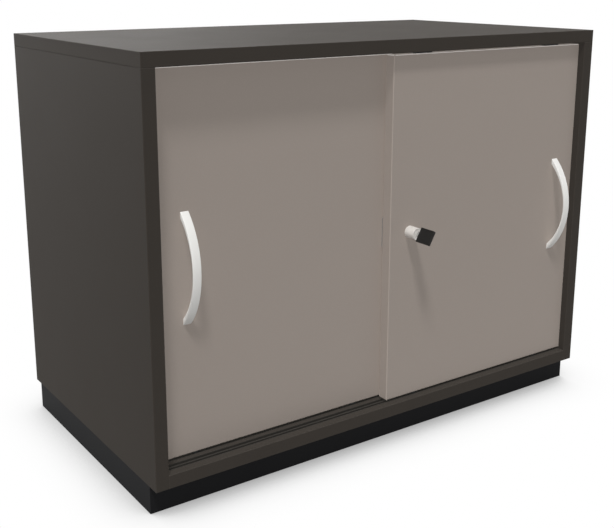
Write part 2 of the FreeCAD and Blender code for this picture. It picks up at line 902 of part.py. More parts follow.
lock_face = front_door_face
lock_back = lock_face + door_thickness
barrel_front = lock_face - lock_barrel_projection
barrel_rear = lock_face + lock_front_lip + lock_collar_thickness
bolt_tip = lock_back + lock_bolt_reach - lock_travel
spring_seat = lock_back - lock_rear_wall
lock_collar_radius = lock_barrel_radius + lock_collar_width
lock_bore_radius = lock_collar_radius + running_clearance
lock_housing_radius = lock_bore_radius + lock_housing_wall
lock_core_front = barrel_front + lock_barrel_front_wall
lock_core_rear = barrel_rear - lock_bolt_head_length - fitting_clearance
flange_front = lock_back - lock_rear_wall
flange_screw_offset = (lock_flange_length / 2 + lock_housing_radius) / 2


def on_lock_axis(y):
    """The point of the lock's axis at this depth."""
    return (lock_x, y, lock_z)


def leaned(shape):
    """A shape turned about the lock's axis, from upright to the way the key stands."""
    turned = shape.copy()
    turned.rotate(Vector(lock_x, 0, lock_z), Y_AXIS, key_lean)
    return turned


def lock_flange(clearance):
    """The housing's flange in the door's back, or the recess for it when a clearance is given."""
    wide, high = lock_flange_width / 2 + clearance, lock_flange_length / 2 + clearance
    return box((lock_x - wide, flange_front, lock_z - high), (lock_x + wide, lock_back, lock_z + high))


def flange_screw_seats():
    """Where the flange's two screws bear; their heads are sunk flush with the flange."""
    head_depth = lock_rear_wall
    return [
        (lock_x, lock_back - head_depth, lock_z + side * flange_screw_offset) for side in (-1, 1)
    ]


flange_screw_length = door_thickness - lock_rear_wall - lock_front_lip


def lock_door_tools():
    """What the lock takes out of the front door."""
    behind_lip, back_end = on_lock_axis(lock_face + lock_front_lip), on_lock_axis(lock_back)
    tools = [
        rod(lock_barrel_radius + running_clearance, on_lock_axis(lock_face), back_end),
        rod(lock_housing_radius + fitting_clearance, behind_lip, back_end),
        lock_flange(fitting_clearance),
    ]
    for seat in flange_screw_seats():
        tools.append(screw_hole(seat, (0, -1, 0), screw_radius, flange_screw_length))
    return tools


def lock_housing():
    """A tube with a rear wall and a flange, in which the barrel slides."""
    tube = rod(lock_housing_radius, on_lock_axis(lock_face + lock_front_lip), on_lock_axis(lock_back))
    body = fused([tube, lock_flange(0)])
    tools = [
        rod(lock_bore_radius, on_lock_axis(lock_face + lock_front_lip), on_lock_axis(spring_seat)),
        rod(lock_bolt_radius + running_clearance, on_lock_axis(spring_seat), on_lock_axis(lock_back)),
    ]
    for x, y, z in flange_screw_seats():
        tools.append(rod(screw_head_radius + fitting_clearance, (x, y, z), (x, lock_back, z)))
    return cut_by(body, tools)


def lock_barrel():
    """The pushed barrel: a collar at its rear holds it in, and the turning core lies in its bore."""
    front_end, rear_end = on_lock_axis(barrel_front), on_lock_axis(barrel_rear)
    body = rod(lock_barrel_radius, front_end, rear_end)
    body = body.makeChamfer(lock_barrel_chamfer, outer_edges(body, Along.Y, barrel_front))
    collar = rod(lock_collar_radius, on_lock_axis(barrel_rear - lock_collar_thickness), rear_end)
    bore = rod(lock_core_radius + shaft_clearance, on_lock_axis(lock_core_front), rear_end)
    mouth = rod(lock_core_nose_radius + shaft_clearance, front_end, on_lock_axis(lock_core_front))
    return cut_by(fused([body, collar]), [bore, mouth])


def lock_bolt():
    """The bolt, whose head closes the barrel's bore behind the core."""
    head_front = barrel_rear - lock_bolt_head_length
    head = rod(lock_core_radius + shaft_clearance, on_lock_axis(head_front), on_lock_axis(barrel_rear))
    return fused([head, rod(lock_bolt_radius, on_lock_axis(head_front), on_lock_axis(bolt_tip))])


def lock_core():
    """The core that the key turns, with its keyway; its nose shows in the barrel's mouth."""
    rear_end = on_lock_axis(lock_core_rear)
    nose = rod(lock_core_nose_radius, on_lock_axis(barrel_front), rear_end)
    body = rod(lock_core_radius, on_lock_axis(lock_core_front + fitting_clearance), rear_end)
    keyway = box(
        (lock_x - keyway_thickness / 2, barrel_front, lock_z - keyway_width / 2),
        (
            lock_x + keyway_thickness / 2,
            barrel_front + key_blade_length + hole_end_clearance,
            lock_z + keyway_width / 2,
        ),
    )
    return leaned(fused([nose, body]).cut(keyway))


def lock_spring():
    """The spring behind the barrel, which pushes it out; its wire has a many-sided section."""
    wire = lock_spring_wire / 2
    length = spring_seat - barrel_rear - lock_spring_wire
    helix = Part.makeHelix(length / lock_spring_turns, length, lock_spring_radius)
    corners = []
    for number in range(lock_spring_wire_sides + 1):
        angle = 2 * math.pi * number / lock_spring_wire_sides
        corners.append(Vector(lock_spring_radius + wire * math.cos(angle), 0, wire * math.sin(angle)))
    coil = Part.Wire(helix.Edges).makePipeShell([Part.makePolygon(corners)], True, True)
    coil.rotate(Vector(0, 0, 0), X_AXIS, -90)
    coil.translate(Vector(lock_x, barrel_rear + wire, lock_z))
    return coil


def key_blade():
    """The key's flat metal part: the cut blade in the core, the neck, and the tang inside the bow."""
    low_y = barrel_front - key_neck_length - key_tang_length
    tip_y = barrel_front + key_blade_length
    low_x, high_x = lock_x - key_blade_thickness / 2, lock_x + key_blade_thickness / 2
    low_z, high_z = lock_z - key_blade_width / 2, lock_z + key_blade_width / 2
    blade = box((low_x, low_y, low_z), (high_x, tip_y, high_z))
    tools = []
    for number, depth in enumerate(key_cut_depths):
        middle = tip_y - key_tip_chamfer - (number + 0.5) * key_cut_pitch
        half = depth * math.tan(math.radians(key_cut_slope))
        notch = [(middle - half, low_z), (middle, low_z + depth), (middle + half, low_z)]
        tools.append(prism_along_x(low_x, high_x, notch))
    shoulder_y = tip_y - key_tip_chamfer
    for edge_z, inward in ((low_z, 1), (high_z, -1)):
        corner = [(shoulder_y, edge_z), (tip_y, edge_z), (tip_y, edge_z + inward * key_tip_chamfer)]
        tools.append(prism_along_x(low_x, high_x, corner))
    return leaned(cut_by(blade, tools))


def key_bow():
    """The key's flat rectangular grip, moulded around the tang."""
    near = barrel_front - key_neck_length
    bow = box(
        (lock_x - key_bow_thickness / 2, near - key_bow_length, lock_z - key_bow_width / 2),
        (lock_x + key_bow_thickness / 2, near, lock_z + key_bow_width / 2),
    )
    bow = bow.makeFillet(key_bow_radius, bow.Edges)
    tang = box(
        (lock_x - key_blade_thickness / 2, near - key_tang_length, lock_z - key_blade_width / 2),
        (lock_x + key_blade_thickness / 2, near, lock_z + key_blade_width / 2),
    )
    return leaned(bow.cut(tang))


striker_low_x = rear_door_right - striker_hold
striker_high_x = lock_x - lock_bolt_radius - striker_bolt_gap
striker_screw_offset = striker_height / 4
striker_head_height = striker_thickness - screw_slot_depth


def striker_screw_seats():
    """Where the striker's two screws bear; their heads are sunk in the plate."""
    x = rear_door_right - striker_hold / 2
    y = rear_door_face - striker_thickness + striker_head_height
    return [(x, y, lock_z + side * striker_screw_offset) for side in (-1, 1)]


def striker_plate():
    """A plate on the rear door that stands beside the pushed-out bolt."""
    plate = box(
        (striker_low_x, rear_door_face - striker_thickness, lock_z - striker_height / 2),
        (striker_high_x, rear_door_face, lock_z + striker_height / 2),
    )
    plate_face = rear_door_face - striker_thickness
    tools = []
    for x, y, z in striker_screw_seats():
        tools.append(rod(screw_head_radius + fitting_clearance, (x, plate_face, z), (x, y, z)))
        tools.append(screw_hole((x, y, z), (0, 1, 0), screw_radius, screw_length))
    return cut_by(plate, tools)


def make_lock():
    """The lock's parts in the front door, the key in it, and the striker on the rear door."""
    save("lock_housing", lock_housing())
    sizes = (screw_radius, screw_head_radius, screw_head_height)
    flange_screws = [
        slotted_screw(seat, (0, -1, 0), flange_screw_length, *sizes) for seat in flange_screw_seats()
    ]
    save("lock_housing_screws", group(flange_screws))
    save("lock_barrel", lock_barrel())
    save("lock_bolt", lock_bolt())
    save("lock_spring", lock_spring())
    save("lock_core", lock_core())
    save("key_blade", key_blade())
    save("key_bow", key_bow())
    save("lock_striker_plate", striker_plate())
    sizes = (screw_radius, screw_head_radius, striker_head_height)
    striker_screws = [
        slotted_screw(seat, (0, 1, 0), screw_length, *sizes) for seat in striker_screw_seats()
    ]
    save("striker_screws", group(striker_screws))


# ---------------------------------------------------------------- the whole cabinet

make_carcass()
make_shelf()
make_plinth()
make_tracks()
striker_holes = [
    screw_hole(seat, (0, 1, 0), screw_radius, screw_length) for seat in striker_screw_seats()
]
make_door("left", rear_door_left, rear_door_right, rear_door_face, left_handle_x, striker_holes)
make_door("right", front_door_left, front_door_right, front_door_face, right_handle_x, lock_door_tools())
make_lock()

print("door travel", round(door_travel, 3))
print("roller turn for each metre of door travel, radians", round(1000 / roller_groove_radius, 4))
print("roller axis z", round(roller_axis_z, 3), "door planes", track_middles)
print("lock axis", lock_x, lock_z, "barrel front", barrel_front, "bolt tip", bolt_tip)
print("handles", left_handle_x, right_handle_x, "door middle", door_middle)
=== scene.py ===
"""Dresses the sliding door cabinet: finishes, the pieces with a finer shape than their solids, and a studio.

Lengths are in metres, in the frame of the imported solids: X to the right, Y to the back and Z up, with the
origin on the floor under the middle of the carcass.
"""

import enum
import logging
import math
from dataclasses import dataclass

import bmesh
import bpy
from mathutils import Matrix, Vector

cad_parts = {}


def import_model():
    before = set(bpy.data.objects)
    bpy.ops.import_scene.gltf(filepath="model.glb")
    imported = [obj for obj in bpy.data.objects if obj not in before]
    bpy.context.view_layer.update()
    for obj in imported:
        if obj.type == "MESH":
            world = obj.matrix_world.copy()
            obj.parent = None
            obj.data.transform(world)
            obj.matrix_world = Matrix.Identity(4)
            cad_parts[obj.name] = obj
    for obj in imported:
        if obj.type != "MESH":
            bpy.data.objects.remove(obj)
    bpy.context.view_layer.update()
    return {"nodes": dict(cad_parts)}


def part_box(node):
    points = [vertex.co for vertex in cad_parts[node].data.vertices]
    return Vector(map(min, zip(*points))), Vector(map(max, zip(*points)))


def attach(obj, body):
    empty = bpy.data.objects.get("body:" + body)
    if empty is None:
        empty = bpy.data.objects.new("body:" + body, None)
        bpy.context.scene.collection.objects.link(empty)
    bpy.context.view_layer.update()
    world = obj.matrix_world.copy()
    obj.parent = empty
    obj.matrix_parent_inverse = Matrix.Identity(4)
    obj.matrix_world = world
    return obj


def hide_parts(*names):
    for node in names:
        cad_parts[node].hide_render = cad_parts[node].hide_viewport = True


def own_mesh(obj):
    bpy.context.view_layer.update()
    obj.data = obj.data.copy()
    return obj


LOG = logging.getLogger("cabinet")
MERGE_DISTANCE = 1e-6

Point = tuple[float, float, float]
Span = tuple[float, float]
Colour = tuple[float, float, float, float]
Nodes = dict[str, bpy.types.Object]
Edges = list[bmesh.types.BMEdge]


def srgb(red: int, green: int, blue: int) -> Colour:
    """Turn a colour as a screen writes it into the renderer's linear one.

    Args:
        red: The red part, from 0 to 255.
        green: The green part, from 0 to 255.
        blue: The blue part, from 0 to 255.

    Returns:
        The linear colour, with full alpha.
    """

    def linear(value: int) -> float:
        """Give one part's linear value."""
        share = value / 255
        return share / 12.92 if share <= 0.04045 else ((share + 0.055) / 1.055) ** 2.4

    return linear(red), linear(green), linear(blue), 1.0


def shaded(colour: Colour, factor: float) -> Colour:
    """Give a colour that is lighter or darker by a factor."""
    return colour[0] * factor, colour[1] * factor, colour[2] * factor, 1.0


def bleached(colour: Colour, factor: float) -> Colour:
    """Give a colour that is lighter by a factor on average, with the same step in each channel."""
    step = (factor - 1.0) * sum(colour[:3]) / 3
    return colour[0] + step, colour[1] + step, colour[2] + step, 1.0


@dataclass(frozen=True)
class Box:
    """The box that a solid fills in the frame."""

    low: Vector
    high: Vector

    @classmethod
    def of(cls, node: str) -> "Box":
        """Read the box of the solid with this name."""
        return cls(*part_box(node))

    @property
    def middle(self) -> Vector:
        """The point in its middle."""
        return (self.low + self.high) / 2

    @property
    def size(self) -> Vector:
        """Its length along each axis."""
        return self.high - self.low


def lock_axis() -> Point:
    """Give the point at Y = 0 of the lock's axis, which runs along Y."""
    x, _, z = Box.of("lock_core").middle
    return x, 0.0, z


# ---------------------------------------------------------------- node graphs


class Graph:
    """A material's node tree round one Principled shader."""

    pearl_softness = 0.6
    pearl_reach = 0.8  # from a pearl's middle to where its height is 0, in cells
    wave_factor = 20  # by which the wave texture multiplies its coordinates
    wave_waver = 0.4
    slanted: Span = (0.95, 0.995)  # a normal's largest part, on a slanted surface and on a flat one
    upward: Span = (0.1, 0.3)  # a normal's part along Z, on an upright surface and on an upper edge

    def __init__(self, name: str, fixed: dict[str, object]) -> None:
        """Start a material.

        Args:
            name: The material's name.
            fixed: The shader's sockets that keep one value all over the surface.
        """
        self.material = bpy.data.materials.new(name)
        self.material.use_nodes = True
        self.tree = self.material.node_tree
        self.tree.nodes.clear()
        output = self.add("ShaderNodeOutputMaterial")
        self.shader = self.add("ShaderNodeBsdfPrincipled", fixed)
        self.feed(output.inputs["Surface"], self.shader.outputs["BSDF"])
        self.place = self.add("ShaderNodeTexCoord").outputs["Object"]

    def feed(self, socket: bpy.types.NodeSocket, value: object) -> None:
        """Link a socket to another one, or set its value.

        Args:
            socket: The input to fill.
            value: An output socket or a plain value.
        """
        if isinstance(value, bpy.types.NodeSocket):
            self.tree.links.new(value, socket)
        else:
            socket.default_value = value

    def add(self, kind: str, inputs: dict | None = None, **settings: object) -> bpy.types.Node:
        """Add a node.

        Args:
            kind: The node's type.
            inputs: Values or output sockets for its inputs, by name or number.
            settings: The node's own settings.

        Returns:
            The node.
        """
        node = self.tree.nodes.new(kind)
        for name, value in settings.items():
            setattr(node, name, value)
        for key, value in (inputs or {}).items():
            self.feed(node.inputs[key], value)
        return node

    def stretched(self, scale: Point, middle: Point = (0.0, 0.0, 0.0)) -> bpy.types.NodeSocket:
        """Scale the object's coordinates about a point.

        Args:
            scale: The factor along each axis.
            middle: The point that becomes the pattern's origin.

        Returns:
            The scaled coordinates.
        """
        offset = tuple(-at * factor for at, factor in zip(middle, scale))
        inputs = {"Vector": self.place, "Scale": scale, "Location": offset}
        return self.add("ShaderNodeMapping", inputs).outputs["Vector"]

    def noise(
        self, scale: float, detail: float = 2.0, place: bpy.types.NodeSocket | None = None
    ) -> bpy.types.NodeSocket:
        """Give a soft random pattern between 0 and 1.

        Args:
            scale: Features per metre, or per unit of the given coordinates.
            detail: The number of finer layers on it.
            place: The coordinates, which are the object's own when left out.

        Returns:
            The pattern's value.
        """
        inputs = {"Vector": place or self.place, "Scale": scale, "Detail": detail}
        return self.add("ShaderNodeTexNoise", inputs).outputs[0]

    def pearls(self, scale: float) -> bpy.types.NodeSocket:
        """Give rounded cells, high at their middles.

        Args:
            scale: Cells per metre.

        Returns:
            The pattern's value.
        """
        inputs = {"Vector": self.place, "Scale": scale, "Smoothness": self.pearl_softness}
        cells = self.add("ShaderNodeTexVoronoi", inputs, feature="SMOOTH_F1")
        return self.between(cells.outputs["Distance"], 1.0, 0.0, (0.0, self.pearl_reach))

    def rings(self, pitch: float, middle: Point) -> bpy.types.NodeSocket:
        """Give fine rings about an axis along Y, as a lathe leaves them.

        Args:
            pitch: The distance from ring to ring.
            middle: A point on the axis.

        Returns:
            The pattern's value.
        """
        inputs = {
            "Vector": self.stretched((1.0, 1.0, 1.0), middle),
            "Scale": math.tau / self.wave_factor / pitch,
            "Distortion": self.wave_waver,
            "Detail": 1.0,
        }
        wave = self.add("ShaderNodeTexWave", inputs, wave_type="RINGS", rings_direction="Y")
        return wave.outputs["Fac"]

    def oblique(self) -> tuple[bpy.types.NodeSocket, bpy.types.NodeSocket]:
        """Tell where the surface lies along none of the three axes, as on a rounded edge.

        Returns:
            The slant, which is 1 on a surface at a slant and 0 on a level or upright one, and how far the
            surface looks up, which is 1 on an upper edge and 0 on an upright or lower one.
        """
        normal = self.add("ShaderNodeNewGeometry").outputs["True Normal"]
        parts = self.add("ShaderNodeSeparateXYZ", {0: normal})
        most = None
        for part in parts.outputs:
            size = self.add("ShaderNodeMath", {0: part}, operation="ABSOLUTE").outputs[0]
            if most is None:
                most = size
            else:
                most = self.add("ShaderNodeMath", {0: most, 1: size}, operation="MAXIMUM").outputs[0]
        slant = self.between(most, 1.0, 0.0, self.slanted)
        return slant, self.between(parts.outputs["Z"], 0.0, 1.0, self.upward)

    def between(
        self,
        value: bpy.types.NodeSocket,
        low: float,
        high: float,
        source: Span = (0.0, 1.0),
    ) -> bpy.types.NodeSocket:
        """Carry a value from one range into another.

        Args:
            value: The value.
            low: What the source's lower end becomes.
            high: What the source's upper end becomes.
            source: The range that the value comes in.

        Returns:
            The new value.
        """
        inputs = {0: value, 1: source[0], 2: source[1], 3: low, 4: high}
        return self.add("ShaderNodeMapRange", inputs).outputs[0]

    def tinted(self, factor: bpy.types.NodeSocket, first: object, second: object) -> bpy.types.NodeSocket:
        """Mix two colours.

        Args:
            factor: The second colour's share.
            first: The first colour, or a socket that gives it.
            second: The second colour, or a socket that gives it.

        Returns:
            The mixed colour.
        """
        inputs = {0: factor, 6: first, 7: second}  # as a colour mixer, the node uses these and output 2
        return self.add("ShaderNodeMix", inputs, data_type="RGBA").outputs[2]

    def shades(self, factor: bpy.types.NodeSocket, colour: Colour, tones: Span) -> bpy.types.NodeSocket:
        """Vary a colour's brightness.

        Args:
            factor: The pattern that it follows.
            colour: The colour.
            tones: What the colour is multiplied by where the pattern is 0, and where it is 1.

        Returns:
            The varied colour.
        """
        return self.tinted(factor, shaded(colour, tones[0]), shaded(colour, tones[1]))

    def bump(
        self, height: bpy.types.NodeSocket, depth: float, under: bpy.types.NodeSocket | None = None
    ) -> bpy.types.NodeSocket:
        """Turn a height pattern into a bumped normal.

        Args:
            height: The pattern, from 0 to 1.
            depth: How high 1 stands.
            under: A normal that is bumped already.

        Returns:
            The normal.
        """
        node = self.add("ShaderNodeBump", {"Height": height, "Distance": depth})
        if under is not None:
            self.feed(node.inputs["Normal"], under)
        return node.outputs["Normal"]

    def surface(
        self, colour: object, roughness: object, normal: bpy.types.NodeSocket
    ) -> bpy.types.Material:
        """Join the patterns to the shader.

        Args:
            colour: The base colour or its socket.
            roughness: The roughness or its socket.
            normal: The bumped normal.

        Returns:
            The finished material.
        """
        self.feed(self.shader.inputs["Base Color"], colour)
        self.feed(self.shader.inputs["Roughness"], roughness)
        self.feed(self.shader.inputs["Normal"], normal)
        return self.material


# ---------------------------------------------------------------- finishes


@dataclass(frozen=True)
class Melamine:
    """A pressed board surface: one even colour, faint clouds in it and a fine pearl grain."""

    name: str
    colour: Colour
    tones: Span = (0.97, 1.03)
    clouds_per_metre: float = 14.0
    fleck_tone: float = 1.105
    flecks_per_metre: float = 1200.0
    fleck_limits: Span = (0.55, 0.75)
    grain_per_metre: float = 1500.0
    grain_depth: float = 2.2e-5
    waves_per_metre: float = 90.0
    roughness: Span = (0.44, 0.52)
    gloss: float = 0.09

    def material(self) -> bpy.types.Material:
        """Build the material."""
        graph = Graph(self.name, {"Specular IOR Level": self.gloss})
        clouds = graph.noise(self.clouds_per_metre, detail=3.0)
        tone = graph.shades(clouds, self.colour, self.tones)
        fine = graph.between(graph.noise(self.flecks_per_metre, detail=1.0), 0.0, 1.0, self.fleck_limits)
        flecks = graph.tinted(fine, tone, shaded(self.colour, self.fleck_tone))
        pearls = graph.pearls(self.grain_per_metre)
        waves = graph.bump(graph.noise(self.waves_per_metre), self.grain_depth)
        normal = graph.bump(pearls, self.grain_depth, waves)
        return graph.surface(flecks, graph.between(clouds, *self.roughness), normal)


@dataclass(frozen=True)
class EdgeBand:
    """A plastic strip glued round a board: the board's colour, paler on its rounded edges, partly as scraped
    plastic and partly as a painted highlight.

    The upper edges are paler still: a painted highlight that stands for light from above catching them.
    """

    name: str
    colour: Colour
    tones: Span = (0.97, 1.03)
    clouds_per_metre: float = 30.0
    scraped_and_highlight: float = 1.15
    painted_top_highlight: float = 1.15
    least_wear_and_highlight: float = 0.75
    grain_per_metre: float = 900.0
    grain_depth: float = 1.2e-5
    waves_per_metre: float = 60.0
    wave_depth: float = 2.4e-5
    roughness: Span = (0.55, 0.65)
    gloss: float = 0.02

    def material(self) -> bpy.types.Material:
        """Build the material."""
        graph = Graph(self.name, {"Specular IOR Level": self.gloss})
        grain = graph.noise(self.grain_per_metre)
        plain = graph.shades(graph.noise(self.clouds_per_metre), self.colour, self.tones)
        wear_and_highlight = graph.between(grain, self.least_wear_and_highlight, 1.0)
        # rounded edges get paler, partly scraped plastic and partly painted highlight; upper edges get a
        # stronger painted highlight
        slant, upper = graph.oblique()
        share = graph.add("ShaderNodeMath", {0: slant, 1: wear_and_highlight}, operation="MULTIPLY")
        pale_and_highlight = graph.tinted(upper, shaded(self.colour, self.scraped_and_highlight), bleached(self.colour, self.painted_top_highlight))
        tone = graph.tinted(share.outputs[0], plain, pale_and_highlight)
        waves = graph.bump(graph.noise(self.waves_per_metre, detail=1.0), self.wave_depth)
        normal = graph.bump(grain, self.grain_depth, waves)
        return graph.surface(tone, graph.between(grain, *self.roughness), normal)


@dataclass(frozen=True)
class Moulded:
    """Injection-moulded plastic with a fine eroded texture."""

    name: str
    colour: Colour
    tones: Span = (0.93, 1.07)
    streaks_per_metre: float = 45.0
    texture_per_metre: float = 2600.0
    texture_depth: float = 1.2e-5
    roughness: Span = (0.35, 0.49)
    gloss: float = 0.35

    def material(self) -> bpy.types.Material:
        """Build the material."""
        graph = Graph(self.name, {"Specular IOR Level": self.gloss})
        texture = graph.noise(self.texture_per_metre, detail=3.0)
        tone = graph.shades(graph.noise(self.streaks_per_metre), self.colour, self.tones)
        normal = graph.bump(texture, self.texture_depth)
        return graph.surface(tone, graph.between(texture, *self.roughness), normal)


@dataclass(frozen=True)
class SatinMetal:
    """Metal that is brushed along one direction and then anodised, plated or coated."""

    name: str
    colour: Colour
    metallic: float = 0.3
    tones: Span = (0.97, 1.0)
    clouds_per_metre: float = 35.0
    strokes_per_metre: Point = (2400.0, 2400.0, 50.0)
    stroke_depth: float = 4.0e-6
    roughness: Span = (0.36, 0.50)
    gloss: float = 0.25

    def material(self) -> bpy.types.Material:
        """Build the material."""
        graph = Graph(self.name, {"Metallic": self.metallic, "Specular IOR Level": self.gloss})
        strokes = graph.noise(1.0, detail=3.0, place=graph.stretched(self.strokes_per_metre))
        tone = graph.shades(graph.noise(self.clouds_per_metre), self.colour, self.tones)
        normal = graph.bump(strokes, self.stroke_depth)
        return graph.surface(tone, graph.between(strokes, *self.roughness), normal)


@dataclass(frozen=True)
class TurnedMetal:
    """Plated metal off a lathe, with fine rings about the lock's axis."""

    name: str
    colour: Colour
    metallic: float = 0.35
    tones: Span = (0.94, 1.0)
    clouds_per_metre: float = 160.0
    ring_pitch: float = 0.00028
    ring_depth: float = 6.0e-6
    roughness: Span = (0.31, 0.44)
    gloss: float = 0.5

    def material(self) -> bpy.types.Material:
        """Build the material."""
        graph = Graph(self.name, {"Metallic": self.metallic, "Specular IOR Level": self.gloss})
        rings = graph.rings(self.ring_pitch, lock_axis())
        clouds = graph.noise(self.clouds_per_metre)
        tone = graph.shades(clouds, self.colour, self.tones)
        normal = graph.bump(rings, self.ring_depth)
        return graph.surface(tone, graph.between(clouds, *self.roughness), normal)


@dataclass(frozen=True)
class ZincPlate:
    """Steel with a thin bright zinc layer, finely pitted and cloudy. The paler clouds are smoother."""

    name: str
    colour: Colour
    tones: Span = (0.82, 1.05)
    clouds_per_metre: float = 220.0
    pits_per_metre: float = 3200.0
    pit_depth: float = 5.0e-6
    roughness: Span = (0.46, 0.26)

    def material(self) -> bpy.types.Material:
        """Build the material."""
        graph = Graph(self.name, {"Metallic": 1.0})
        clouds = graph.noise(self.clouds_per_metre, detail=4.0)
        tone = graph.shades(clouds, self.colour, self.tones)
        normal = graph.bump(graph.noise(self.pits_per_metre), self.pit_depth)
        return graph.surface(tone, graph.between(clouds, *self.roughness), normal)


@dataclass(frozen=True)
class Timber:
    """Plain beech: straight grain with short dark flecks."""

    name: str
    light: Colour
    dark: Colour
    fibres_per_metre: Point = (900.0, 900.0, 70.0)
    fibre_depth: float = 3.0e-5
    flecks_per_fibre: float = 1.6
    fleck_limits: Span = (0.58, 0.7)
    fleck_tone: float = 0.7
    roughness: float = 0.6
    gloss: float = 0.25

    def material(self) -> bpy.types.Material:
        """Build the material."""
        graph = Graph(self.name, {"Specular IOR Level": self.gloss})
        along = graph.stretched(self.fibres_per_metre)
        fibres = graph.noise(1.0, detail=4.0, place=along)
        spots = graph.noise(self.flecks_per_fibre, detail=1.0, place=along)
        flecks = graph.between(spots, 0.0, 1.0, self.fleck_limits)
        tone = graph.tinted(fibres, self.dark, self.light)
        colour = graph.tinted(flecks, tone, shaded(self.dark, self.fleck_tone))
        return graph.surface(colour, self.roughness, graph.bump(fibres, self.fibre_depth))


class Finish(enum.Enum):
    """Every finish on the cabinet, named for the material slot that it belongs to."""

    CARCASS_LAMINATE = Melamine("carcass_laminate", srgb(54, 50, 46), roughness=(0.58, 0.66), gloss=0.03)
    # the edging's rounded and upper edges carry a painted highlight
    CARCASS_EDGING = EdgeBand("carcass_edging", srgb(56, 52, 48))
    DOOR_LAMINATE = Melamine("door_laminate", srgb(143, 134, 127), tones=(0.988, 1.012), fleck_tone=1.06)
    # the doors' upper edges carry a strong painted highlight, paler and more neutral than the door
    DOOR_EDGING = EdgeBand("door_edging", srgb(143, 134, 127), scraped_and_highlight=1.2, painted_top_highlight=2.55)
    PLINTH_LAMINATE = Melamine("plinth_laminate", srgb(27, 27, 28), gloss=0.02)
    BEECH = Timber("beech", srgb(214, 178, 132), srgb(188, 146, 98))
    TRACK_PLASTIC = Moulded("track_plastic", srgb(46, 44, 41), gloss=0.12)
    GUIDE_PLASTIC = Moulded("guide_plastic", srgb(30, 30, 30), gloss=0.2)
    ROLLER_PLASTIC = Moulded("roller_plastic", srgb(38, 38, 38))
    HANDLE_METAL = SatinMetal("handle_metal", srgb(212, 211, 208), metallic=0.12)
    STEEL = ZincPlate("steel", srgb(158, 158, 157))
    LOCK_METAL = TurnedMetal("lock_metal", srgb(196, 192, 187), metallic=0.12)
    KEY_PLASTIC = Moulded(
        "key_plastic", srgb(26, 25, 24), texture_per_metre=1800.0, texture_depth=2.5e-5, gloss=0.1
    )

    @property
    def slot(self) -> str:
        """The record's name for the slot."""
        return self.value.name


class Finishes:
    """The materials of the finishes, each built once."""

    def __init__(self) -> None:
        """Build every material."""
        self.built = {finish: finish.value.material() for finish in Finish}

    def dress(self, nodes: Nodes, names: tuple[str, ...], finish: Finish) -> None:
        """Give solids their material.

        Args:
            nodes: The frame's objects by name.
            names: The solids to dress.
            finish: Their finish.
        """
        for name in names:
            node = nodes[name]
            if not node.material_slots:
                node.data.materials.append(None)
            for slot in node.material_slots:
                slot.material = self.built[finish]
            LOG.info("dressed %s in %s", name, finish.slot)


# ---------------------------------------------------------------- modelling steps


